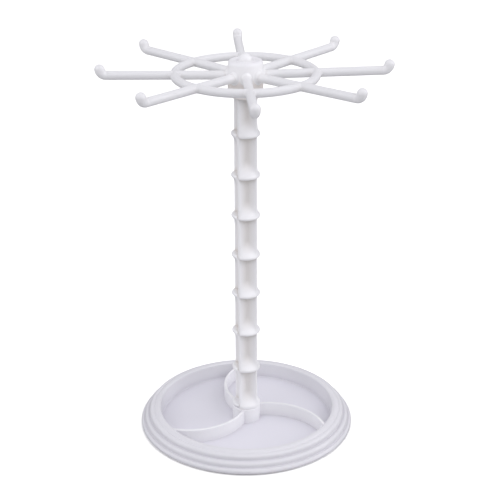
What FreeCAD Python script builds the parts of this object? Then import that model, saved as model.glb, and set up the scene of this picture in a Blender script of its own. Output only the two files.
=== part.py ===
import FreeCAD, Part
import math
import os

V = FreeCAD.Vector
os.makedirs("parts", exist_ok=True)

# ---------------------------------------------------------------- dimensions
# All lengths in millimetres.  +Z up, origin on the table under the stem axis,
# the side the stand is normally seen from faces -Y.

# tray base
FLANGE_R = 84.3          # widest radius, bottom bead of the skirt
FLANGE_Z = 1.2           # underside of the bottom bead, clear of the table
FLANGE_EDGE_R = 0.5
FOOT_R = 82.2            # outer radius of the ring it stands on
FOOT_IN_R = 80.0         # inner radius of that ring
RIM_Z = 14.6             # top of the crowned rim
RIM_TOP_R = 70.9         # radius at which the rim is highest
RIM_CROWN_R = 4.5        # round of the rim's top
RIM_IN_R = 68.7          # inner edge of the rim
RIM_EDGE_R = 1.0
STEP2_Z = 13.5                     # top of the second bead
STEP3_R, STEP3_Z = 77.75, 9.2      # foot of the second bead, top of the third
STEP4_R, STEP4_Z = 81.5, 4.8       # foot of the third bead, top of the lowest
BEAD2_R = 2.6
BEAD3_R = 2.6
BEAD4_R = 2.0
GROOVE_R = 0.3           # small round at the bottom of a groove
FLOOR_TOP = 1.8
FLOOR_UNDER = 0.4
WALL_FOOT_R = 68.2       # inner wall radius low down, draft included
FLOOR_FILLET = 0.6
WALL_BACK_R = 70.4       # hidden side of the inner wall
SKIRT_ROOF_Z = 11.8
BOSS_R = 8.4             # boss under the stem socket
BOSS_Z = 8.0
NUT_WELL_R = 6.4
NUT_WELL_Z = 6.0

# swirl dividers: arcs of circles that pass through the stem axis
DIV_COUNT = 3
DIV_ARC_R = 45.6
DIV_CENTRE_DEG = 171.7
DIV_T = 2.2
DIV_TOP = 13.0
DIV_EDGE_R = 0.9

# socket on the tray floor
SOCKET_R = 10.9
SOCKET_IN_R = 8.5
SOCKET_IN_Z = 8.05
SOCKET_TOP = 14.0
SOCKET_EDGE_R = 1.0
NECK_R = 8.9             # round neck between the socket and the lowest collar
NECK_TOP = 14.5
NECK_FILLET = 0.4

# stem
SEG_COUNT = 8
PITCH = 32.2             # one segment, collar to collar
STEM_Z0 = 16.1           # lowest collar
STEM_DEG = 11.0          # turn of the flutes about +Z
RIDGE_R = 10.15          # ridges between the flutes
RIDGE_NOSE = 1.0
FLUTE_R = 4.2            # bottom of a flute, from the axis
FLUTE_ROUND = 2.4        # hollow rounding at the bottom of a flute
FLARE_R = 10.9           # where the flare meets the lip
FLARE_H = 9.0            # height over which a flute runs out to the collar
FLARE_MID_R, FLARE_MID_H = 6.9, 3.0
LIP_ROUND = 1.55         # round of the lip
LIP_C_R = 9.45           # centre of that round, from the axis
LIP_C_H = 0.0            # and below the joint
LAP_GAP = 0.08           # play between a lip and the neighbour
ROD_BORE_R = 2.15
CORE_R = 2.9             # inner side of a collar, inside the stem

# rod, nut, washers, pivot
ROD_R = 2.0
ROD_Z0, ROD_Z1 = 1.6, 299.0
NUT_AF = 7.0
NUT_Z0, NUT_Z1 = 2.0, 5.2
WASHER_R = 5.6
SLEEVE_R = 5.0
SLEEVE_IN_R = 2.1
SLEEVE_TOP = 296.2       # a little above the hub, so that the hub turns freely
THRUST_IN_R = 5.15
THRUST_R = 9.4
THRUST_T = 1.0

# crown
ARM_COUNT = 8
ARM_DEG = 3.4            # turn of the crown at rest
ARM_R = 3.3
ARM_Z = 286.2            # axis of an arm where it crosses the ring
ARM_RISE_DEG = 0.9       # arms rise a little outwards
ARM_STRAIGHT = 101.0     # where the hook starts to turn up
HOOK_BEND_R = 3.9
HOOK_BEND_DEG = 78.0
HOOK_TAIL = 1.3
HOOK_BALL_R = 3.5
RING_R = 51.3
RING_TUBE_R = 3.2
HUB_R = 12.9
HUB_Z0 = 271.4
HUB_Z1 = 296.0
HUB_EDGE_R = 2.2         # round of the upper edge
HUB_LOW_EDGE_R = 0.6
HUB_BORE_R = 5.05
HUB_RECESS_R = 11.3
HUB_RECESS_Z = 274.8

# dome cap
CAP_FLANGE_R = 5.5
CAP_FLANGE_T = 0.6
CAP_DOME_R = 4.7
CAP_Z0 = SLEEVE_TOP
CAP_DOME_Z = 296.5
CAP_HOLE_R = 2.05
CAP_HOLE_TOP = 299.3

STEM_TOP = STEM_Z0 + SEG_COUNT * PITCH


# ------------------------------------------------------------------- helpers
def pol(r, deg, z=0.0):
    a = math.radians(deg)
    return V(r * math.cos(a), r * math.sin(a), z)


def seg(a, b):
    return Part.LineSegment(a, b).toShape()


def arc3(a, m, b):
    return Part.Arc(a, m, b).toShape()


def arc_c(c, r, deg0, deg1):
    """Arc in the XZ plane about (c.x, c.z), from deg0 to deg1."""
    def p(d):
        return V(c[0] + r * math.cos(math.radians(d)), 0.0,
                 c[1] + r * math.sin(math.radians(d)))
    return arc3(p(deg0), p(0.5 * (deg0 + deg1)), p(deg1))


def rz(r, z):
    return V(r, 0.0, z)


def revolve(edges, deg=360.0):
    wire = Part.Wire(Part.__sortEdges__(edges))
    return Part.Face(wire).revolve(V(0, 0, 0), V(0, 0, 1), deg)


def cyl(r, z0, z1):
    return Part.makeCylinder(r, z1 - z0, V(0, 0, z0))


def solid_of(shape):
    """The single solid inside a boolean result."""
    s = shape.removeSplitter()
    if len(s.Solids) != 1:
        raise ValueError("expected one solid, got %d" % len(s.Solids))
    return s.Solids[0]


def turned(shape, deg):
    s = shape.copy()
    s.rotate(V(0, 0, 0), V(0, 0, 1), deg)
    return s


def save(shape, name):
    solids = shape.Solids
    for s in solids:
        if not s.isValid():
            raise ValueError(name + " is not valid")
    shape.exportStep("parts/" + name + ".step")
    print("%-18s solids %d  volume %10.2f mm3  z %.2f..%.2f" % (
        name, len(solids), shape.Volume, shape.BoundBox.ZMin, shape.BoundBox.ZMax))


# ----------------------------------------------------------------- tray base
def bead_chain(beads, g, last):
    """Outline of a stack of round beads (x, z, radius), lowest first, with a
    groove of radius g between neighbours.  Runs from the outer side of the lowest
    bead to the angle last on the highest."""
    out = []
    start = 0.0
    for k, (x1, z1, r1) in enumerate(beads):
        if k == len(beads) - 1:
            out.append(arc_c((x1, z1), r1, start, last))
            break
        x2, z2, r2 = beads[k + 1]
        # groove tangent to the upright side of the next bead
        gx = x2 + r2 + g
        gz = z1 + math.sqrt((r1 + g) ** 2 - (gx - x1) ** 2)
        if gz > z2:
            # groove tangent to both rounds
            dx, dz = x2 - x1, z2 - z1
            d = math.hypot(dx, dz)
            a = ((r1 + g) ** 2 - (r2 + g) ** 2 + d * d) / (2 * d)
            h = math.sqrt((r1 + g) ** 2 - a * a)
            gx = x1 + a * dx / d + h * dz / d
            gz = z1 + a * dz / d - h * dx / d
        end = math.degrees(math.atan2(gz - z1, gx - x1))
        nxt = max(0.0, math.degrees(math.atan2(gz - z2, gx - x2)))
        out.append(arc_c((x1, z1), r1, start, end))
        out.append(arc_c((gx, gz), g, 180.0 + end, 180.0 + nxt))
        if gz < z2 - 1e-6:
            out.append(seg(rz(x2 + r2, gz), rz(x2 + r2, z2)))
        start = nxt
    return out


# round inside the rim, tangent to its crown
RIM_EDGE_Z = RIM_Z - RIM_CROWN_R + math.sqrt((RIM_CROWN_R - RIM_EDGE_R) ** 2
                                             - (RIM_IN_R + RIM_EDGE_R - RIM_TOP_R) ** 2)
RIM_EDGE_DEG = math.degrees(math.atan2(RIM_EDGE_Z - RIM_Z + RIM_CROWN_R,
                                       RIM_IN_R + RIM_EDGE_R - RIM_TOP_R))


def make_tray():
    e = []
    # skirt, from the table upwards: three round beads and the crowned rim
    b4 = (FLANGE_R - BEAD4_R, STEP4_Z - BEAD4_R)
    b3 = (STEP4_R - BEAD3_R, STEP3_Z - BEAD3_R)
    b2 = (STEP3_R - BEAD2_R, STEP2_Z - BEAD2_R)
    b1 = (RIM_TOP_R, RIM_Z - RIM_CROWN_R)
    fe = FLANGE_EDGE_R
    e.append(seg(rz(FOOT_IN_R, 0), rz(FOOT_R, 0)))
    e.append(seg(rz(FOOT_R, 0), rz(FOOT_R, FLANGE_Z)))
    e.append(seg(rz(FOOT_R, FLANGE_Z), rz(FLANGE_R - fe, FLANGE_Z)))
    e.append(arc_c((FLANGE_R - fe, FLANGE_Z + fe), fe, -90, 0))
    e.append(seg(rz(FLANGE_R, FLANGE_Z + fe), rz(FLANGE_R, b4[1])))
    e += bead_chain([(b4[0], b4[1], BEAD4_R), (b3[0], b3[1], BEAD3_R),
                     (b2[0], b2[1], BEAD2_R), (b1[0], b1[1], RIM_CROWN_R)], GROOVE_R, RIM_EDGE_DEG)
    e.append(arc_c((RIM_IN_R + RIM_EDGE_R, RIM_EDGE_Z), RIM_EDGE_R, RIM_EDGE_DEG, 180))
    # inner wall with draft, fillet to the floor
    e.append(seg(rz(RIM_IN_R, RIM_EDGE_Z), rz(WALL_FOOT_R, FLOOR_TOP + FLOOR_FILLET)))
    e.append(arc_c((WALL_FOOT_R - FLOOR_FILLET, FLOOR_TOP + FLOOR_FILLET), FLOOR_FILLET, 360, 270))
    e.append(seg(rz(WALL_FOOT_R - FLOOR_FILLET, FLOOR_TOP), rz(BOSS_R, FLOOR_TOP)))
    # boss with the nut well under it
    e.append(seg(rz(BOSS_R, FLOOR_TOP), rz(BOSS_R, BOSS_Z)))
    e.append(seg(rz(BOSS_R, BOSS_Z), rz(ROD_BORE_R, BOSS_Z)))
    e.append(seg(rz(ROD_BORE_R, BOSS_Z), rz(ROD_BORE_R, NUT_WELL_Z)))
    e.append(seg(rz(ROD_BORE_R, NUT_WELL_Z), rz(NUT_WELL_R, NUT_WELL_Z)))
    e.append(seg(rz(NUT_WELL_R, NUT_WELL_Z), rz(NUT_WELL_R, FLOOR_UNDER)))
    e.append(seg(rz(NUT_WELL_R, FLOOR_UNDER), rz(WALL_BACK_R, FLOOR_UNDER)))
    # hollow back of the skirt
    e.append(seg(rz(WALL_BACK_R, FLOOR_UNDER), rz(WALL_BACK_R, SKIRT_ROOF_Z)))
    e.append(seg(rz(WALL_BACK_R, SKIRT_ROOF_Z), rz(WALL_BACK_R + 1.2, SKIRT_ROOF_Z)))
    e.append(seg(rz(WALL_BACK_R + 1.2, SKIRT_ROOF_Z), rz(FOOT_IN_R, 0)))
    return revolve(e)


def tray_space():
    """The open space inside the tray wall, round the socket."""
    e = []
    top = DIV_TOP + 5.0
    e.append(seg(rz(SOCKET_R, FLOOR_TOP), rz(WALL_FOOT_R - FLOOR_FILLET, FLOOR_TOP)))
    e.append(arc_c((WALL_FOOT_R - FLOOR_FILLET, FLOOR_TOP + FLOOR_FILLET), FLOOR_FILLET, 270, 360))
    e.append(seg(rz(WALL_FOOT_R, FLOOR_TOP + FLOOR_FILLET), rz(RIM_IN_R, RIM_EDGE_Z)))
    corner = rz(RIM_IN_R, RIM_EDGE_Z)
    e.append(seg(corner, rz(corner.x, top)))
    e.append(seg(rz(corner.x, top), rz(SOCKET_R, top)))
    e.append(seg(rz(SOCKET_R, top), rz(SOCKET_R, FLOOR_TOP)))
    return revolve(e)


def make_divider(index, space):
    deg = DIV_CENTRE_DEG + 360.0 / DIV_COUNT * index
    c = pol(DIV_ARC_R, deg)
    r0, r1 = DIV_ARC_R - DIV_T / 2, DIV_ARC_R + DIV_T / 2
    # wall section with a rounded top edge, swept about the arc's centre
    z0, z1, f = FLOOR_TOP, DIV_TOP, DIV_EDGE_R
    e = [seg(rz(r0, z0), rz(r1, z0)),
         seg(rz(r1, z0), rz(r1, z1 - f)),
         arc_c((r1 - f, z1 - f), f, 0, 90),
         seg(rz(r1 - f, z1), rz(r0 + f, z1)),
         arc_c((r0 + f, z1 - f), f, 90, 180),
         seg(rz(r0, z1 - f), rz(r0, z0))]
    ring = revolve(e, 140.0)
    # the stem axis lies at deg + 180 seen from the arc's centre; the wall runs
    # from there to the rim on the side of falling angle
    ring.rotate(V(0, 0, 0), V(0, 0, 1), deg + 180.0 - 140.0)
    ring.translate(c)
    keep = space.common(ring)
    best = max(keep.Solids, key=lambda s: s.Volume)
    return solid_of(best)


# ---------------------------------------------------------------------- stem
FRONT, RIGHT, BACK, LEFT = [STEM_DEG + d for d in (-90.0, 0.0, 90.0, 180.0)]
LOW_MID = 0.5 * (FRONT + RIGHT)      # middle of the half collar that hangs down
HIGH_MID = LOW_MID + 180.0           # middle of the one that stands up
LIP_LAP = LIP_C_H + LIP_ROUND


def stem_section(z, grow=0.0):
    """Closed outline of the fluted stem: round ridges, straight flanks and a
    hollow round at the bottom of each flute."""
    nose, hollow = RIDGE_NOSE + grow, FLUTE_ROUND - grow
    bx = FLUTE_R + FLUTE_ROUND
    cx = RIDGE_R - RIDGE_NOSE
    half = math.radians(45.0)
    dx, dy = cx * math.cos(half) - bx, cx * math.sin(half)
    n = math.degrees(math.atan2(dy, dx) + math.acos((nose + hollow) / math.hypot(dx, dy)))
    edges = []
    for mid in (FRONT, RIGHT, BACK, LEFT):
        c = pol(bx, mid, z)
        r_a = pol(cx, mid - 45.0, z)
        r_b = pol(cx, mid + 45.0, z)
        h_a = c + pol(hollow, mid - n)
        h_b = c + pol(hollow, mid + n)
        p_a = r_a - pol(nose, mid - n)
        p_b = r_b - pol(nose, mid + n)
        q_b = r_b - pol(nose, mid + 90.0 - n)
        edges.append(seg(p_a, h_a))
        edges.append(arc3(h_a, pol(bx - hollow, mid, z), h_b))
        edges.append(seg(h_b, p_b))
        edges.append(arc3(p_b, pol(cx + nose, mid + 45.0, z), q_b))
    return Part.Wire(Part.__sortEdges__(edges))


def stem_prism(z0, z1, grow=0.0):
    return Part.Face(stem_section(z0, grow)).extrude(V(0, 0, z1 - z0))


def half_collar(z, mid_deg, down):
    """Half a turn of collar about mid_deg at a joint.  The flare fills two flutes
    on its own side of the joint, the rounded lip laps over the joint."""
    s = 1.0 if down else -1.0

    def p(r, h):
        return rz(r, z + s * h)

    # height at which the lip's round passes FLARE_R
    top = math.sqrt(LIP_ROUND ** 2 - (FLARE_R - LIP_C_R) ** 2) - LIP_C_H
    e = [seg(p(CORE_R, -LIP_LAP), p(LIP_C_R, -LIP_LAP)),
         arc3(p(LIP_C_R, -LIP_LAP), p(LIP_C_R + LIP_ROUND, -LIP_C_H), p(FLARE_R, top)),
         arc3(p(FLARE_R, top), p(FLARE_MID_R, FLARE_MID_H), p(FLUTE_R - 0.2, FLARE_H)),
         seg(p(FLUTE_R - 0.2, FLARE_H), p(CORE_R, FLARE_H)),
         seg(p(CORE_R, FLARE_H), p(CORE_R, -LIP_LAP))]
    return turned(revolve(e, 180.0), mid_deg - 90.0)


def make_segment(last):
    """One segment with its lower joint at z = 0."""
    z1 = PITCH
    body = stem_prism(0.0, z1)
    body = body.fuse(half_collar(0.0, LOW_MID, True).cut(stem_prism(-6.0, 0.0, LAP_GAP)))
    if not last:
        body = body.fuse(half_collar(z1, HIGH_MID, False).cut(stem_prism(z1, z1 + 6.0, LAP_GAP)))
    body = body.cut(cyl(ROD_BORE_R, -5.0, z1 + 5.0))
    return solid_of(body)


def lifted(shape, z):
    s = shape.copy()
    s.translate(V(0, 0, z))
    return s


def make_socket():
    e, f = SOCKET_EDGE_R, NECK_FILLET
    prof = [seg(rz(ROD_BORE_R, NECK_TOP), rz(NECK_R, NECK_TOP)),
            seg(rz(NECK_R, NECK_TOP), rz(NECK_R, SOCKET_TOP + f)),
            arc_c((NECK_R + f, SOCKET_TOP + f), f, 180, 270),
            seg(rz(NECK_R + f, SOCKET_TOP), rz(SOCKET_R - e, SOCKET_TOP)),
            arc_c((SOCKET_R - e, SOCKET_TOP - e), e, 90, 0),
            seg(rz(SOCKET_R, SOCKET_TOP - e), rz(SOCKET_R, FLOOR_TOP)),
            seg(rz(SOCKET_R, FLOOR_TOP), rz(SOCKET_IN_R, FLOOR_TOP)),
            seg(rz(SOCKET_IN_R, FLOOR_TOP), rz(SOCKET_IN_R, SOCKET_IN_Z)),
            seg(rz(SOCKET_IN_R, SOCKET_IN_Z), rz(ROD_BORE_R, SOCKET_IN_Z)),
            seg(rz(ROD_BORE_R, SOCKET_IN_Z), rz(ROD_BORE_R, NECK_TOP))]
    body = revolve(prof)
    body = body.fuse(stem_prism(NECK_TOP - 1.5, STEM_Z0))
    # the half collar that stands up from the socket
    high = half_collar(STEM_Z0, HIGH_MID, False)
    high = high.common(cyl(30.0, SOCKET_IN_Z + 2.0, STEM_Z0 + 8.0))
    high = high.cut(stem_prism(STEM_Z0, STEM_Z0 + 6.0, LAP_GAP))
    body = body.fuse(high)
    body = body.cut(cyl(ROD_BORE_R, 0.0, STEM_Z0 + 20.0))
    return solid_of(body)


# ------------------------------------------------------------- rod and pivot
def make_rod():
    c = 0.4
    e = [seg(rz(0, ROD_Z0), rz(ROD_R - c, ROD_Z0)),
         seg(rz(ROD_R - c, ROD_Z0), rz(ROD_R, ROD_Z0 + c)),
         seg(rz(ROD_R, ROD_Z0 + c), rz(ROD_R, ROD_Z1 - c)),
         seg(rz(ROD_R, ROD_Z1 - c), rz(ROD_R - c, ROD_Z1)),
         seg(rz(ROD_R - c, ROD_Z1), rz(0, ROD_Z1)),
         seg(rz(0, ROD_Z1), rz(0, ROD_Z0))]
    return revolve(e)


def make_nut():
    r = NUT_AF / 2 / math.cos(math.radians(30))
    pts = [pol(r, 60 * k, NUT_Z0) for k in range(6)]
    pts.append(pts[0])
    body = Part.Face(Part.makePolygon(pts)).extrude(V(0, 0, NUT_Z1 - NUT_Z0))
    # turned corners, top and bottom
    cone = 0.5 * (NUT_Z1 - NUT_Z0)
    low = Part.makeCone(NUT_AF / 2 - 0.1, NUT_AF / 2 - 0.1 + cone * 1.6, cone, V(0, 0, NUT_Z0))
    high = Part.makeCone(NUT_AF / 2 - 0.1 + cone * 1.6, NUT_AF / 2 - 0.1, cone, V(0, 0, NUT_Z0 + cone))
    body = body.common(low.fuse(high))
    return solid_of(body.cut(cyl(CAP_HOLE_R, NUT_Z0 - 1, NUT_Z1 + 1)))


def tube(r_in, r_out, z0, z1):
    return solid_of(cyl(r_out, z0, z1).cut(cyl(r_in, z0 - 1, z1 + 1)))


def make_cap():
    f = 0.5 * CAP_FLANGE_T
    top = CAP_Z0 + CAP_FLANGE_T
    a = math.asin((top - CAP_DOME_Z) / CAP_DOME_R)
    e = [seg(rz(CAP_HOLE_R, CAP_Z0), rz(CAP_FLANGE_R - f, CAP_Z0)),
         arc_c((CAP_FLANGE_R - f, CAP_Z0 + f), f, -90, 0),
         arc_c((CAP_FLANGE_R - f, top - f), f, 0, 90),
         seg(rz(CAP_FLANGE_R - f, top), rz(CAP_DOME_R * math.cos(a), top)),
         arc_c((0.0, CAP_DOME_Z), CAP_DOME_R, math.degrees(a), 90),
         seg(rz(0, CAP_DOME_Z + CAP_DOME_R), rz(0, CAP_HOLE_TOP)),
         seg(rz(0, CAP_HOLE_TOP), rz(CAP_HOLE_R, CAP_HOLE_TOP)),
         seg(rz(CAP_HOLE_R, CAP_HOLE_TOP), rz(CAP_HOLE_R, CAP_Z0))]
    return revolve(e)


# --------------------------------------------------------------------- crown
def make_hub():
    e, f = HUB_EDGE_R, HUB_LOW_EDGE_R
    body = revolve([seg(rz(0, HUB_Z0), rz(HUB_R - f, HUB_Z0)),
                    arc_c((HUB_R - f, HUB_Z0 + f), f, -90, 0),
                    seg(rz(HUB_R, HUB_Z0 + f), rz(HUB_R, HUB_Z1 - e)),
                    arc_c((HUB_R - e, HUB_Z1 - e), e, 0, 90),
                    seg(rz(HUB_R - e, HUB_Z1), rz(0, HUB_Z1)),
                    seg(rz(0, HUB_Z1), rz(0, HUB_Z0))])
    body = body.cut(cyl(HUB_RECESS_R, HUB_Z0 - 1, HUB_RECESS_Z))
    body = body.cut(cyl(HUB_BORE_R, HUB_Z0 - 1, HUB_Z1 + 1))
    return solid_of(body)


def raised(shape):
    """Tilt what lies along +X upwards about the point on the ring."""
    s = shape.copy()
    s.rotate(V(RING_R, 0, ARM_Z), V(0, -1, 0), ARM_RISE_DEG)
    return s


def arm_blank():
    """Straight arm along +X, before it is trimmed to the hub."""
    x0 = 0.7 * HUB_R
    return raised(Part.makeCylinder(ARM_R, ARM_STRAIGHT - x0, V(x0, 0, ARM_Z), V(1, 0, 0)))


def hook_blank():
    """Upturned end of the arm along +X: bend, tail and ball."""
    x1, z = ARM_STRAIGHT, ARM_Z
    face = Part.Face(Part.Wire(Part.makeCircle(ARM_R, V(x1, 0, z), V(1, 0, 0))))
    bend = face.revolve(V(x1, 0, z + HOOK_BEND_R), V(0, -1, 0), HOOK_BEND_DEG)
    a = math.radians(HOOK_BEND_DEG)
    end = V(x1 + HOOK_BEND_R * math.sin(a), 0, z + HOOK_BEND_R * (1 - math.cos(a)))
    d = V(math.cos(a), 0, math.sin(a))
    tip = end + d * HOOK_TAIL
    tail = Part.makeCone(ARM_R, HOOK_BALL_R, HOOK_TAIL, end, d)
    ball = Part.makeSphere(HOOK_BALL_R, tip)
    return raised(solid_of(bend.fuse([tail, ball])))


def make_arms(hub):
    blank = arm_blank()
    arms = []
    for k in range(ARM_COUNT):
        arms.append(solid_of(turned(blank, ARM_DEG + 360.0 / ARM_COUNT * k).cut(hub)))
    return arms


def make_hooks():
    blank = hook_blank()
    return [turned(blank, ARM_DEG + 360.0 / ARM_COUNT * k) for k in range(ARM_COUNT)]


def make_ring(arms):
    ring = Part.makeTorus(RING_R, RING_TUBE_R, V(0, 0, ARM_Z), V(0, 0, 1))
    for a in arms:
        ring = ring.cut(a)
    spans = sorted(ring.Solids, key=lambda s: math.atan2(s.CenterOfMass.y, s.CenterOfMass.x))
    if len(spans) != ARM_COUNT:
        raise ValueError("ring spans: %d" % len(spans))
    return Part.makeCompound(spans)


# -------------------------------------------------------------------- output
save(make_tray(), "base_tray")
save(make_socket(), "stem_socket")
space = tray_space()
for i in range(DIV_COUNT):
    save(make_divider(i, space), "tray_divider_%d" % (i + 1))
plain = make_segment(False)
for i in range(SEG_COUNT - 1):
    save(lifted(plain, STEM_Z0 + i * PITCH), "stem_segment_%d" % (i + 1))
save(lifted(make_segment(True), STEM_Z0 + (SEG_COUNT - 1) * PITCH), "stem_segment_%d" % SEG_COUNT)
save(make_rod(), "tie_rod")
save(make_nut(), "base_nut")
save(tube(ROD_BORE_R, WASHER_R, NUT_Z1, NUT_WELL_Z), "base_washer")
save(tube(SLEEVE_IN_R, SLEEVE_R, STEM_TOP, SLEEVE_TOP), "pivot_sleeve")
save(tube(THRUST_IN_R, THRUST_R, STEM_TOP, STEM_TOP + THRUST_T), "thrust_washer")
save(make_cap(), "dome_cap")
hub = make_hub()
save(hub, "crown_hub")
arms = make_arms(hub)
for i, a in enumerate(arms):
    save(a, "hook_arm_%d" % (i + 1))
for i, h in enumerate(make_hooks()):
    save(h, "hook_tip_%d" % (i + 1))
save(make_ring(arms), "crown_ring")
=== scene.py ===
import math

import bmesh
import bpy
from mathutils import Matrix, Vector


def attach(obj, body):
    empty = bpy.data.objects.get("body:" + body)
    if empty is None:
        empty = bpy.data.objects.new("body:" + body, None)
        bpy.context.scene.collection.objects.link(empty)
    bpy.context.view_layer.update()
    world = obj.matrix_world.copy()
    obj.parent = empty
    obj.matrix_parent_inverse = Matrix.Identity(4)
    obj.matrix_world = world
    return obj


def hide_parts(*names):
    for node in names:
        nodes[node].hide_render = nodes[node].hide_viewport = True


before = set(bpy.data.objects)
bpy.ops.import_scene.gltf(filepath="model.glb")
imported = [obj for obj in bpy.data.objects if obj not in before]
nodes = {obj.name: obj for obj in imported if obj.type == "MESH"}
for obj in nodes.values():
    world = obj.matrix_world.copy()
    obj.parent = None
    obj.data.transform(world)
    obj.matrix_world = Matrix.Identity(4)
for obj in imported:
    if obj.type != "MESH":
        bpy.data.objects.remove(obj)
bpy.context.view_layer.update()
scene = bpy.context.scene
MM = 0.001


# ------------------------------------------------------------------ materials
def new_material(name):
    mat = bpy.data.materials.new(name)
    mat.use_nodes = True
    nt = mat.node_tree
    nt.nodes.clear()
    out = nt.nodes.new("ShaderNodeOutputMaterial")
    bsdf = nt.nodes.new("ShaderNodeBsdfPrincipled")
    nt.links.new(bsdf.outputs["BSDF"], out.inputs["Surface"])
    return mat, nt, bsdf


def noise(nt, coord, scale, detail=3.0, rough=0.5):
    n = nt.nodes.new("ShaderNodeTexNoise")
    n.inputs["Scale"].default_value = scale
    n.inputs["Detail"].default_value = detail
    n.inputs["Roughness"].default_value = rough
    nt.links.new(coord, n.inputs["Vector"])
    return n


def ramp(nt, fac, stops):
    r = nt.nodes.new("ShaderNodeValToRGB")
    el = r.color_ramp.elements
    while len(el) < len(stops):
        el.new(0.5)
    for e, (p, c) in zip(el, stops):
        e.position = p
        e.color = c
    nt.links.new(fac, r.inputs["Fac"])
    return r


def span(nt, fac, lo, hi, a=0.3, b=0.7):
    m = nt.nodes.new("ShaderNodeMapRange")
    m.inputs["From Min"].default_value = a
    m.inputs["From Max"].default_value = b
    m.inputs["To Min"].default_value = lo
    m.inputs["To Max"].default_value = hi
    nt.links.new(fac, m.inputs["Value"])
    return m


def blend(nt, fac, under, over):
    """Mix two colours; under is an output and over a fixed colour."""
    mix = nt.nodes.new("ShaderNodeMix")
    mix.data_type = "RGBA"
    nt.links.new(fac, mix.inputs["Factor"])
    nt.links.new(under, mix.inputs[6])
    mix.inputs[7].default_value = (*over, 1)
    return mix.outputs[2]


def moulded_plastic(name, tint_a, tint_b, shade_tint, reach_mm, rough_lo, rough_hi, shut_at=(0.30, 0.95),
                    core=None, low=None, foot=None, head=None):
    """White injection-moulded plastic: faint cloudiness in the colour, painted shade
    where the surface is closed in, slightly uneven gloss and a very shallow moulded
    skin.  core = (tint, r0, r1) is a painted tone near the stem axis; low = (z0, z1)
    keeps the painted shade to the part under a height; foot = (tint, z0, z1) is
    painted shade below a height and head a painted tone above one.  Millimetres."""
    mat, nt, bsdf = new_material(name)
    tc = nt.nodes.new("ShaderNodeTexCoord")
    obj = tc.outputs["Object"]
    cloud = noise(nt, obj, 24.0, 4.0, 0.55)
    col = ramp(nt, cloud.outputs["Fac"], [(0.30, (*tint_a, 1)), (0.72, (*tint_b, 1))])
    tone = col.outputs["Color"]
    # Painted tone by distance from the axis: painted shade where it is darker, painted light where it is lighter.
    if core:
        flat = nt.nodes.new("ShaderNodeVectorMath")
        flat.operation = "MULTIPLY"
        flat.inputs[1].default_value = (1.0, 1.0, 0.0)
        nt.links.new(obj, flat.inputs[0])
        rad = nt.nodes.new("ShaderNodeVectorMath")
        rad.operation = "LENGTH"
        nt.links.new(flat.outputs["Vector"], rad.inputs[0])
        near = span(nt, rad.outputs["Value"], 1.0, 0.0, core[1] * MM, core[2] * MM)
        tone = blend(nt, near.outputs["Result"], tone, core[0])
    # Painted tone over the top of the part, above a height.
    if head:
        top = nt.nodes.new("ShaderNodeSeparateXYZ")
        nt.links.new(obj, top.inputs["Vector"])
        above = span(nt, top.outputs["Z"], 0.0, 1.0, head[1] * MM, head[2] * MM)
        tone = blend(nt, above.outputs["Result"], tone, head[0])
    # Painted shade below a height.
    if foot:
        up = nt.nodes.new("ShaderNodeSeparateXYZ")
        nt.links.new(obj, up.inputs["Vector"])
        below = span(nt, up.outputs["Z"], 1.0, 0.0, foot[1] * MM, foot[2] * MM)
        tone = blend(nt, below.outputs["Result"], tone, foot[0])
    # Painted shade: the ambient-occlusion amount darkens and tints the colour in recesses, creases and under
    # things.
    if shade_tint:
        ao = nt.nodes.new("ShaderNodeAmbientOcclusion")
        ao.samples = 12
        ao.inputs["Distance"].default_value = reach_mm * MM
        shade_amount = span(nt, ao.outputs["AO"], 1.0, 0.0, *shut_at).outputs["Result"]
        # Keeps the painted shade to the part below a height.
        if low:
            sep = nt.nodes.new("ShaderNodeSeparateXYZ")
            nt.links.new(obj, sep.inputs["Vector"])
            under = span(nt, sep.outputs["Z"], 1.0, 0.0, low[0] * MM, low[1] * MM)
            both = nt.nodes.new("ShaderNodeMath")
            both.operation = "MULTIPLY"
            nt.links.new(shade_amount, both.inputs[0])
            nt.links.new(under.outputs["Result"], both.inputs[1])
            shade_amount = both.outputs["Value"]
        tone = blend(nt, shade_amount, tone, shade_tint)
    nt.links.new(tone, bsdf.inputs["Base Color"])
    gloss = noise(nt, obj, 170.0, 3.0, 0.6)
    rr = span(nt, gloss.outputs["Fac"], rough_lo, rough_hi)
    nt.links.new(rr.outputs["Result"], bsdf.inputs["Roughness"])
    skin = noise(nt, obj, 420.0, 2.0, 0.5)
    bump = nt.nodes.new("ShaderNodeBump")
    bump.inputs["Strength"].default_value = 0.05
    bump.inputs["Distance"].default_value = 0.00004
    nt.links.new(skin.outputs["Fac"], bump.inputs["Height"])
    nt.links.new(bump.outputs["Normal"], bsdf.inputs["Normal"])
    bsdf.inputs["IOR"].default_value = 1.49
    return mat


def turned_metal(name, tint_a, tint_b, rough_lo, rough_hi):
    mat, nt, bsdf = new_material(name)
    tc = nt.nodes.new("ShaderNodeTexCoord")
    mp = nt.nodes.new("ShaderNodeMapping")
    mp.inputs["Scale"].default_value = (1.0, 1.0, 14.0)
    nt.links.new(tc.outputs["Object"], mp.inputs["Vector"])
    n = noise(nt, mp.outputs["Vector"], 260.0, 5.0, 0.6)
    col = ramp(nt, n.outputs["Fac"], [(0.3, (*tint_a, 1)), (0.7, (*tint_b, 1))])
    nt.links.new(col.outputs["Color"], bsdf.inputs["Base Color"])
    rr = span(nt, n.outputs["Fac"], rough_lo, rough_hi)
    nt.links.new(rr.outputs["Result"], bsdf.inputs["Roughness"])
    bsdf.inputs["Metallic"].default_value = 1.0
    return mat


def white(level, warm):
    """A white of one level; warm above 0 leans to cream, below 0 to lavender."""
    if warm >= 0:
        return (level + 0.010 * warm, level, level - 0.022 * warm)
    return (level, level + 0.005 * warm, level - 0.022 * warm)


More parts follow.
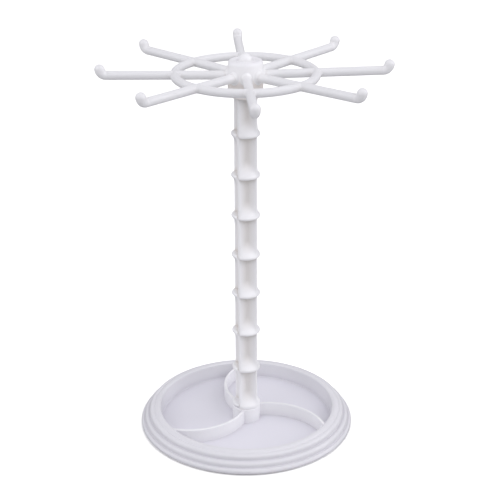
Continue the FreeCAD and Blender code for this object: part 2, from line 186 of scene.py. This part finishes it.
def plastic(name, level, warm, shade_tint, reach_mm=10.0, rough=(0.31, 0.41), **more):
    return moulded_plastic(name, white(level - 0.008, warm), white(level + 0.008, warm), shade_tint, reach_mm, *rough, **more)


# The arm, root, tip, stem, hub, cap, tray and divider plastics are one white; their levels differ part by part as
# painted light and shade, set to how bright each part looks under the lamps. The fourth value of each plastic below
# is the colour of the painted shade in its recesses. On the arms, core paints them lighter towards the hub: painted
# light.
ARM = plastic("white_plastic", 0.795, 0.0, (0.66, 0.63, 0.60), 6.0, core=(white(0.88, 0.2), 14.0, 24.0))
# The arm roots take a lighter copy of the arm plastic: painted light, as bright as the hub.
ROOT = plastic("root_plastic", 0.89, 0.2, None)
# The hook tips are a slightly lighter copy of the arm plastic: painted light.
TIP = plastic("tip_plastic", 0.825, 0.1, (0.66, 0.63, 0.60), 6.0)
# core paints the stem darker and warmer towards the bottoms of its flutes: painted shade.
STEM = plastic("stem_plastic", 0.90, 0.1, (0.67, 0.625, 0.57), 5.0, core=((0.82, 0.80, 0.772), 4.2, 9.2))
# The hub's recess colour is dark brown painted shade, kept below the arms by low; foot paints the hub warmer and
# darker below the arms, painted shade; head paints its top darker and cooler, painted shade.
HUB = plastic("hub_plastic", 0.95, 0.2, (0.52, 0.455, 0.385), 14.0, shut_at=(0.45, 1.0), low=(279.5, 285.0),
              foot=((0.925, 0.885, 0.845), 279.5, 286.5), head=((0.865, 0.858, 0.868), 293.8, 296.0))
DOME = plastic("cap_plastic", 0.90, 0.0, (0.80, 0.79, 0.78), 4.0)
# core paints the tray's floor inside the rim lighter and bluer than its walls: painted light from above.
TRAY = plastic("tray_plastic", 0.75, -0.7, (0.65, 0.637, 0.675), 5.0, (0.295, 0.37), core=((0.780, 0.772, 0.818), 67.4, 68.6))
DIVIDER = plastic("divider_plastic", 0.875, -0.2, (0.80, 0.79, 0.815), 8.0, (0.295, 0.37))
STEEL = turned_metal("zinc_steel", (0.52, 0.53, 0.55), (0.66, 0.67, 0.69), 0.24, 0.40)
BRASS = turned_metal("brass_bush", (0.60, 0.42, 0.18), (0.74, 0.55, 0.27), 0.22, 0.36)
NYLON = plastic("nylon", 0.58, 1.0, (0.48, 0.46, 0.42), 4.0, (0.45, 0.55))


def paint(mat, *starts):
    for n, o in nodes.items():
        if n.startswith(starts):
            o.data.materials.clear()
            o.data.materials.append(mat)


paint(TRAY, "base_tray")
paint(DIVIDER, "tray_divider", "stem_socket")
paint(STEM, "stem_segment")
paint(STEEL, "tie_rod", "base_nut", "base_washer")
paint(BRASS, "pivot_sleeve")
paint(NYLON, "thrust_washer")
paint(DOME, "dome_cap")
paint(HUB, "crown_hub")
paint(ARM, "crown_ring", "hook_arm")
paint(TIP, "hook_tip")

# ----------------------------------------------------------------------- stem
STEM_DEG = 11.0              # turn of the flutes about the axis
RIDGE_R, RIDGE_NOSE = 10.15, 1.0
FLUTE_R, FLUTE_ROUND = 4.2, 2.4
LIP_R, LIP_ROUND = 11.0, 1.55
FLARE_H, FLARE_POW, FLARE_LEAD = 12.5, 1.8, 0.3
LAP_GAP = 0.08
ROD_BORE = 2.15
STEM_Z0, PITCH, SEGMENTS = 16.1, 32.2, 8
LOW_FROM = STEM_DEG - 135.0  # ridges between which the collar hangs down
LOW_TO = STEM_DEG + 45.0


def flute_radius(deg):
    """Radius of the straight stem at an angle: round ridge, flank, round hollow."""
    a = math.radians((deg - STEM_DEG + 45.0) % 90.0 - 45.0)
    a = abs(a)
    c, s = math.cos(a), math.sin(a)
    cx = RIDGE_R - RIDGE_NOSE
    rx = ry = cx * math.sqrt(0.5)
    bx = FLUTE_R + FLUTE_ROUND
    dx, dy = rx - bx, ry
    n = math.atan2(dy, dx) + math.acos((RIDGE_NOSE + FLUTE_ROUND) / math.hypot(dx, dy))
    hx, hy = bx + FLUTE_ROUND * math.cos(n), FLUTE_ROUND * math.sin(n)
    px, py = rx - RIDGE_NOSE * math.cos(n), ry - RIDGE_NOSE * math.sin(n)
    if a <= math.atan2(hy, hx):
        return bx * c - math.sqrt(max((bx * c) ** 2 - bx ** 2 + FLUTE_ROUND ** 2, 0.0))
    if a <= math.atan2(py, px):
        ex, ey = px - hx, py - hy
        return (hx * ey - hy * ex) / (c * ey - s * ex)
    k = rx * c + ry * s
    return k + math.sqrt(max(k * k - cx * cx + RIDGE_NOSE ** 2, 0.0))


def smooth(t):
    t = min(max(t, 0.0), 1.0)
    return t * t * (3.0 - 2.0 * t)


def inside(deg, a, b, soft):
    """1 between the angles a and b, falling to 0 just inside each end."""
    d = (deg - a) % 360.0
    w = (b - a) % 360.0
    if d > w:
        return 0.0
    return smooth(min(d, w - d) / soft)


def flare_profile(rf):
    """Outline of a collar over a stem of radius rf: (radius, height) from the inner
    edge of the lap, round the lip and out along the flare.  Heights count away
    from the lip."""
    rc = LIP_R - LIP_ROUND
    phi1 = 0.5
    for _ in range(30):      # the flare leaves the lip's round at a tangent
        r1, h1 = rc + LIP_ROUND * math.cos(phi1), LIP_ROUND * math.sin(phi1)
        phi1 = 0.5 * (phi1 + math.atan(max(r1 - rf, 0.0) * (FLARE_POW - FLARE_LEAD) / (FLARE_H - h1)))
    pts = [(rf + LAP_GAP, 0.0), (rf + LAP_GAP, -0.55 * LIP_ROUND), (rf + LAP_GAP, -LIP_ROUND)]
    inner = min(rf + LAP_GAP, rc - 0.02)
    pts[0] = (inner, 0.0)
    pts[1] = (inner, -0.55 * LIP_ROUND)
    pts[2] = (inner, -LIP_ROUND)
    for i in (1, 2, 3):
        pts.append((inner + (rc - inner) * i / 4.0, -LIP_ROUND))
    n = 12
    for i in range(n + 1):
        phi = -0.5 * math.pi + (phi1 + 0.5 * math.pi) * i / n
        pts.append((rc + LIP_ROUND * math.cos(phi), LIP_ROUND * math.sin(phi)))
    r1, h1 = pts[-1]
    m = 22
    for i in range(1, m + 1):
        t = (i / m) ** 1.15
        e = (1.0 - t) ** FLARE_POW * (1.0 + FLARE_LEAD * t)
        pts.append((rf + (r1 - rf) * e, h1 + (FLARE_H - h1) * t))
    return pts


def plain_profile(rf, like, bore):
    """The same number of points on a plain square end."""
    lap = len(like) - 22
    pts = []
    for i in range(lap):
        t = (i + 1.0) / lap
        pts.append((bore + (rf - bore) * t, 0.0))
    for r, h in like[lap:]:
        pts.append((rf, h))
    return pts


def stem_angles():
    """Angles round the stem, closer together on the ridges and where a collar ends."""
    out = []
    for q in range(4):
        mid = STEM_DEG + 90.0 * q
        steps = [-45, -44.2, -43.4, -42.6, -41.8, -41, -40, -39, -38, -36.5, -35, -33, -30.5, -28, -25,
                 -22, -19, -16, -13, -10, -7, -4, -1.5]
        out += [mid + s for s in steps] + [mid - s for s in reversed(steps[1:])] + [mid]
    return sorted(set(round(a % 360.0, 4) for a in out))


ANGLES = stem_angles()


def segment_mesh(name, z0, z1, last, seat=0.0):
    """One length of stem; seat lets the lower lip down onto what it stands on."""
    rings = []
    for deg in ANGLES:
        rf = flute_radius(deg)
        like = flare_profile(rf)
        wl = inside(deg, LOW_FROM, LOW_TO, 7.0)
        wh = 0.0 if last else inside(deg, LOW_TO, LOW_FROM, 7.0)
        low_plain = plain_profile(rf, like, ROD_BORE)
        high_plain = low_plain
        low = [(a[0] * wl + b[0] * (1 - wl), z0 + (a[1] + seat * min(a[1], 0.0) / LIP_ROUND) * wl + b[1] * (1 - wl))
               for a, b in zip(like, low_plain)]
        high = [(a[0] * wh + b[0] * (1 - wh), z1 - a[1] * wh - b[1] * (1 - wh)) for a, b in zip(like, high_plain)]
        prof = [(ROD_BORE, z1 - 8.0), (ROD_BORE, z0 + 8.0), (ROD_BORE, z0)]
        prof += low + high[::-1]
        prof += [(ROD_BORE, z1)]
        c, s = math.cos(math.radians(deg)), math.sin(math.radians(deg))
        rings.append([(r * c * MM, r * s * MM, z * MM) for r, z in prof])
    n, m = len(rings), len(rings[0])
    verts = [v for ring in rings for v in ring]
    faces = []
    for i in range(n):
        j = (i + 1) % n
        for k in range(m):
            l = (k + 1) % m
            faces.append((i * m + k, j * m + k, j * m + l, i * m + l))
    me = bpy.data.meshes.new(name)
    me.from_pydata(verts, [], faces)
    me.update()
    me.shade_smooth()
    me.set_sharp_from_angle(angle=math.radians(48.0))
    me.materials.append(STEM)
    ob = bpy.data.objects.new(name, me)
    scene.collection.objects.link(ob)
    return ob


for i in range(SEGMENTS):
    node = "stem_segment_%d" % (i + 1)
    piece = segment_mesh(node + "_moulded", STEM_Z0 + PITCH * i, STEM_Z0 + PITCH * (i + 1), i == SEGMENTS - 1,
                         1.5 if i == 0 else 0.0)
    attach(piece, "stand")
    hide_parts(node)

# --------------------------------------------------------------- ring joints
ARM_COUNT, ARM_DEG, ARM_R, ARM_Z = 8, 3.4, 3.3, 286.2
RING_R, RING_TUBE = 51.3, 3.2
ROOT_Z = 285.6               # the arms rise a little outwards
JOINT_ROUND = 1.8            # hollow round where the ring runs into an arm
HUB_R, ROOT_ROUND = 12.9, 2.2    # and where an arm runs into the hub


def joint_band(bm, deg, side, around=48, across=8):
    """Closed band that fills the corner between the ring and one side of an arm:
    a hollow round that touches both, and a hidden edge inside them."""
    ca, sa = math.cos(math.radians(deg)), math.sin(math.radians(deg))
    a, b, g = ARM_R, RING_TUBE, JOINT_ROUND
    loops = []
    for i in range(around):
        t = 2.0 * math.pi * i / around
        z, q = (b + g) * math.sin(t), (b + g) * math.cos(t)
        y = math.sqrt((a + g) ** 2 - z * z)
        x = math.sqrt((RING_R + q) ** 2 - y * y)
        c = Vector((x, y, z))
        on_arm = Vector((x, y * a / (a + g), z * a / (a + g)))
        k = Vector((x, y, 0.0)) * (RING_R / (RING_R + q))
        on_ring = k + (c - k) * (b / (b + g))
        d1, d2 = (on_arm - c).normalized(), (on_ring - c).normalized()
        full = d1.angle(d2)
        pts = []
        for n in range(across + 1):
            f = n / across
            w = (d1 * math.sin((1 - f) * full) + d2 * math.sin(f * full)) / math.sin(full)
            pts.append(c + w * g)
        pts.append(c + (d1 + d2).normalized() * (g / math.cos(0.5 * full) + 0.25))
        loop = []
        for p in pts:
            py = p.y * side
            loop.append(bm.verts.new(((p.x * ca - py * sa) * MM, (p.x * sa + py * ca) * MM, (ARM_Z + p.z) * MM)))
        loops.append(loop)
    m = across + 2
    for i in range(around):
        for n in range(m):
            bm.faces.new((loops[i][n], loops[(i + 1) % around][n],
                          loops[(i + 1) % around][(n + 1) % m], loops[i][(n + 1) % m]))


def root_band(bm, deg, around=56, across=10):
    """Closed band that fills the corner all round an arm where it leaves the hub."""
    ca, sa = math.cos(math.radians(deg)), math.sin(math.radians(deg))
    a, g = ARM_R, ROOT_ROUND
    loops = []
    for i in range(around):
        t = 2.0 * math.pi * i / around
        y, z = (a + g) * math.cos(t), (a + g) * math.sin(t)
        x = math.sqrt((HUB_R + g) ** 2 - y * y)
        c = Vector((x, y, z))
        d1 = Vector((0.0, -math.cos(t), -math.sin(t)))
        d2 = -Vector((x, y, 0.0)).normalized()
        full = d1.angle(d2)
        pts = []
        for n in range(across + 1):
            f = n / across
            w = (d1 * math.sin((1 - f) * full) + d2 * math.sin(f * full)) / math.sin(full)
            pts.append(c + w * g)
        pts.append(c + (d1 + d2).normalized() * (g / math.cos(0.5 * full) + 0.25))
        loops.append([bm.verts.new(((p.x * ca - p.y * sa) * MM, (p.x * sa + p.y * ca) * MM, (ROOT_Z + p.z) * MM))
                      for p in pts])
    m = across + 2
    for i in range(around):
        for n in range(m):
            bm.faces.new((loops[i][n], loops[(i + 1) % around][n],
                          loops[(i + 1) % around][(n + 1) % m], loops[i][(n + 1) % m]))


def crown_rounds(name, add, mat):
    """One piece with the same rounds at every arm."""
    bm = bmesh.new()
    for k in range(ARM_COUNT):
        add(bm, ARM_DEG + 360.0 / ARM_COUNT * k)
    bmesh.ops.recalc_face_normals(bm, faces=bm.faces)
    me = bpy.data.meshes.new(name)
    bm.to_mesh(me)
    bm.free()
    me.shade_smooth()
    me.set_sharp_from_angle(angle=math.radians(40.0))
    me.materials.append(mat)
    ob = bpy.data.objects.new(name, me)
    scene.collection.objects.link(ob)
    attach(ob, "crown")


def both_sides(bm, deg):
    joint_band(bm, deg, 1.0)
    joint_band(bm, deg, -1.0)


crown_rounds("ring_joints", both_sides, ARM)
crown_rounds("arm_roots", root_band, ROOT)

# ------------------------------------------------------------------------ hub
HUB_LOW, HUB_TOP, HUB_RECESS = 270.2, 296.0, 274.8
HUB_RIM, HUB_RIM_H, HUB_BORE, HUB_SKIRT = 2.3, 0.6, 5.05, 11.3


def hub_mesh(name, around=128):
    """Drum: soft raised rim round the top, rounded bottom edge, bore and a recess
    over the top of the stem."""
    pts = [(HUB_BORE, HUB_RECESS), (HUB_BORE, 280.0), (HUB_BORE, 290.0), (HUB_BORE, HUB_TOP - 0.3), (HUB_BORE + 0.3, HUB_TOP)]
    pts += [(5.64, HUB_TOP), (5.64, HUB_TOP + 0.35), (5.70, HUB_TOP + 0.47), (5.84, HUB_TOP + 0.52), (6.1, HUB_TOP + 0.46), (6.6, HUB_TOP + 0.20)]
    mid = HUB_R - HUB_RIM
    foot = mid - HUB_RIM - 1.0
    pts += [(foot, HUB_TOP)]
    for i in range(1, 11):       # inner side of the rim
        t = i / 10.0
        pts.append((foot + (mid - foot) * t, HUB_TOP + HUB_RIM_H * smooth(t)))
    for i in range(1, 13):       # outer side, a quarter of an ellipse
        a = 0.5 * math.pi * i / 12.0
        pts.append((mid + HUB_RIM * math.sin(a), HUB_TOP + HUB_RIM_H - 3.0 * (1.0 - math.cos(a))))
    pts += [(HUB_R, 290.0), (HUB_R, 284.0), (HUB_R, 278.0), (HUB_R, 273.0)]
    for i in range(9):
        a = 0.5 * math.pi * i / 8.0
        pts.append((HUB_R - 1.1 * (1.0 - math.cos(a)), HUB_LOW + 1.1 - 1.1 * math.sin(a)))
    pts += [(HUB_SKIRT + 0.15, HUB_LOW), (HUB_SKIRT, HUB_LOW + 0.15), (HUB_SKIRT, HUB_RECESS), (8.0, HUB_RECESS)]
    m = len(pts)
    verts, faces = [], []
    for i in range(around):
        t = 2.0 * math.pi * i / around
        verts += [(r * math.cos(t) * MM, r * math.sin(t) * MM, z * MM) for r, z in pts]
    for i in range(around):
        j = (i + 1) % around
        for k in range(m):
            l = (k + 1) % m
            faces.append((i * m + k, i * m + l, j * m + l, j * m + k))
    me = bpy.data.meshes.new(name)
    me.from_pydata(verts, [], faces)
    me.update()
    bm = bmesh.new()
    bm.from_mesh(me)
    bmesh.ops.recalc_face_normals(bm, faces=bm.faces)
    bm.to_mesh(me)
    bm.free()
    me.shade_smooth()
    me.set_sharp_from_angle(angle=math.radians(40.0))
    me.materials.append(HUB)
    ob = bpy.data.objects.new(name, me)
    scene.collection.objects.link(ob)
    return ob


hub = hub_mesh("crown_hub_moulded")
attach(hub, "crown")
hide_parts("crown_hub")

# ------------------------------------------------------------------ hook tips
RISE_DEG = 0.9
TIP_FROM, TIP_BEND_AT, TIP_BEND_R, TIP_BEND_DEG = 98.5, 99.8, 4.9, 72.0
TIP_TAIL, TIP_R = 1.0, 3.75


def tip_mesh(name, deg, around=40):
    """Upturned end of an arm: one sweep that swells smoothly from the arm's
    thickness, turns up and ends in a half ball."""
    turn = math.radians(TIP_BEND_DEG)
    bend_len, lead = TIP_BEND_R * turn, TIP_BEND_AT - TIP_FROM
    total = lead + bend_len + TIP_TAIL
    path = []
    n = 34
    for i in range(n + 1):
        d = total * i / n
        if d <= lead:
            x, z, a = TIP_FROM + d, 0.0, 0.0
        else:
            a = min((d - lead) / TIP_BEND_R, turn)
            x, z = TIP_BEND_AT + TIP_BEND_R * math.sin(a), TIP_BEND_R * (1.0 - math.cos(a))
            left = max(d - lead - bend_len, 0.0)
            x, z = x + left * math.cos(turn), z + left * math.sin(turn)
        path.append((x, z, a, ARM_R - 0.02 + (TIP_R - ARM_R + 0.02) * smooth(d / (total - 0.5 * TIP_TAIL))))
    x, z, a, _ = path[-1]
    for i in range(1, 10):
        b = 0.5 * math.pi * i / 10.0
        path.append((x + TIP_R * math.sin(b) * math.cos(a), z + TIP_R * math.sin(b) * math.sin(a), a, TIP_R * math.cos(b)))
    rise = math.radians(RISE_DEG)
    ca, sa = math.cos(math.radians(deg)), math.sin(math.radians(deg))

    def place(px, py, pz):
        dx = px - RING_R
        qx, qz = RING_R + dx * math.cos(rise) - pz * math.sin(rise), dx * math.sin(rise) + pz * math.cos(rise)
        return ((qx * ca - py * sa) * MM, (qx * sa + py * ca) * MM, (ARM_Z + qz) * MM)

    bm = bmesh.new()
    loops = []
    for px, pz, a_, r in path:
        loop = []
        for k in range(around):
            t = 2.0 * math.pi * k / around
            u = r * math.cos(t)
            loop.append(bm.verts.new(place(px - u * math.sin(a_), r * math.sin(t), pz + u * math.cos(a_))))
        loops.append(loop)
    for i in range(len(loops) - 1):
        for k in range(around):
            m = (k + 1) % around
            bm.faces.new((loops[i][k], loops[i][m], loops[i + 1][m], loops[i + 1][k]))
    pole = bm.verts.new(place(x + TIP_R * math.cos(a), 0.0, z + TIP_R * math.sin(a)))
    start = bm.verts.new(place(TIP_FROM, 0.0, 0.0))
    for k in range(around):
        m = (k + 1) % around
        bm.faces.new((loops[-1][k], loops[-1][m], pole))
        bm.faces.new((loops[0][m], loops[0][k], start))
    bmesh.ops.recalc_face_normals(bm, faces=bm.faces)
    me = bpy.data.meshes.new(name)
    bm.to_mesh(me)
    bm.free()
    me.shade_smooth()
    me.set_sharp_from_angle(angle=math.radians(50.0))
    me.materials.append(TIP)
    ob = bpy.data.objects.new(name, me)
    scene.collection.objects.link(ob)
    return ob


for i in range(ARM_COUNT):
    node = "hook_tip_%d" % (i + 1)
    piece = tip_mesh(node + "_moulded", ARM_DEG + 360.0 / ARM_COUNT * i)
    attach(piece, "crown")
    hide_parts(node)

# ---------------------------------------------------------------------- stage
def sheet(name, z):
    me = bpy.data.meshes.new(name)
    w = 6.0
    me.from_pydata([(-w, -w, 0), (w, -w, 0), (w, w, 0), (-w, w, 0)], [], [(0, 1, 2, 3)])
    ob = bpy.data.objects.new(name, me)
    scene.collection.objects.link(ob)
    ob.location.z = z
    mat, nt, bsdf = new_material(name + "_paper")
    bsdf.inputs["Roughness"].default_value = 0.9
    bsdf.inputs["Specular IOR Level"].default_value = 0.0
    me.materials.append(mat)
    return ob, bsdf


# the white paper that is seen, and a duller sheet under it that lights the object from below
floor, fb = sheet("floor", -0.0002)
fb.inputs["Base Color"].default_value = (1.45, 1.455, 1.39, 1)
floor.visible_diffuse = False
floor.visible_glossy = False
floor.visible_shadow = False
under, ub = sheet("under", -0.0004)
ub.inputs["Base Color"].default_value = (0.60, 0.60, 0.60, 1)
under.visible_camera = False
under.visible_glossy = False

world = bpy.data.worlds.new("studio")
scene.world = world
world.use_nodes = True
wnt = world.node_tree
bg = wnt.nodes["Background"]
wtc = wnt.nodes.new("ShaderNodeTexCoord")
wsep = wnt.nodes.new("ShaderNodeSeparateXYZ")
wnt.links.new(wtc.outputs["Generated"], wsep.inputs["Vector"])
level = span(wnt, wsep.outputs["Z"], 0.0, 1.0, -0.12, 0.10)
room = ramp(wnt, level.outputs["Result"], [(0.0, (0.10, 0.10, 0.105, 1)), (1.0, (0.598, 0.593, 0.627, 1))])
wnt.links.new(room.outputs["Color"], bg.inputs["Color"])
bg.inputs["Strength"].default_value = 1.0


def softbox(name, azimuth, elevation, power, colour=(1.0, 0.993, 1.050), size=1.5, distance=2.6):
    """Round soft light; azimuth 0 is the front, 90 the right."""
    a, e = math.radians(azimuth), math.radians(elevation)
    loc = Vector((math.sin(a) * math.cos(e), -math.cos(a) * math.cos(e), math.sin(e))) * distance
    target = Vector((0, 0, 0.12))
    li = bpy.data.lights.new(name, "AREA")
    li.shape = "DISK"
    li.size = size
    li.energy = power
    li.color = colour
    ob = bpy.data.objects.new(name, li)
    scene.collection.objects.link(ob)
    ob.location = loc + target
    ob.rotation_euler = (-loc).to_track_quat("-Z", "Y").to_euler()
    ob.visible_camera = False
    return ob


for name, azimuth, elevation, power in (
        ("right_low", 90, 14, 7.4), ("front_right_low", 45, 14, 1.2), ("back_right_low", 135, 14, 0.7),
        ("left_low", 270, 14, 5.2),
        ("right_mid", 90, 38, 8.2), ("front_right_mid", 45, 38, 8.6), ("front_mid", 0, 38, 3.4),
        ("left_mid", 270, 38, 6.4), ("front_left_mid", 315, 38, 5.9),
        ("front_right_top", 45, 62, 3.8), ("front_left_top", 315, 62, 0.8)):
    softbox(name, azimuth, elevation, power)

# --------------------------------------------------------------------- camera
cam_data = bpy.data.cameras.new("camera")
cam = bpy.data.objects.new("camera", cam_data)
scene.collection.objects.link(cam)
cam.location = (0.0, -0.8950, 0.5287)
cam.rotation_euler = (Matrix.Rotation(math.radians(90.0 - 23.041), 3, "X")
                      @ Matrix.Rotation(math.radians(-0.16), 3, "Z")).to_euler()
cam_data.sensor_width = 36.0
cam_data.lens = 1272.765 / 500.0 * 36.0
cam_data.shift_x = (250.0 - 245.95) / 500.0
cam_data.clip_end = 50.0
scene.camera = cam

scene.view_settings.view_transform = "Standard"
scene.view_settings.look = "None"
scene.view_settings.exposure = 0.0
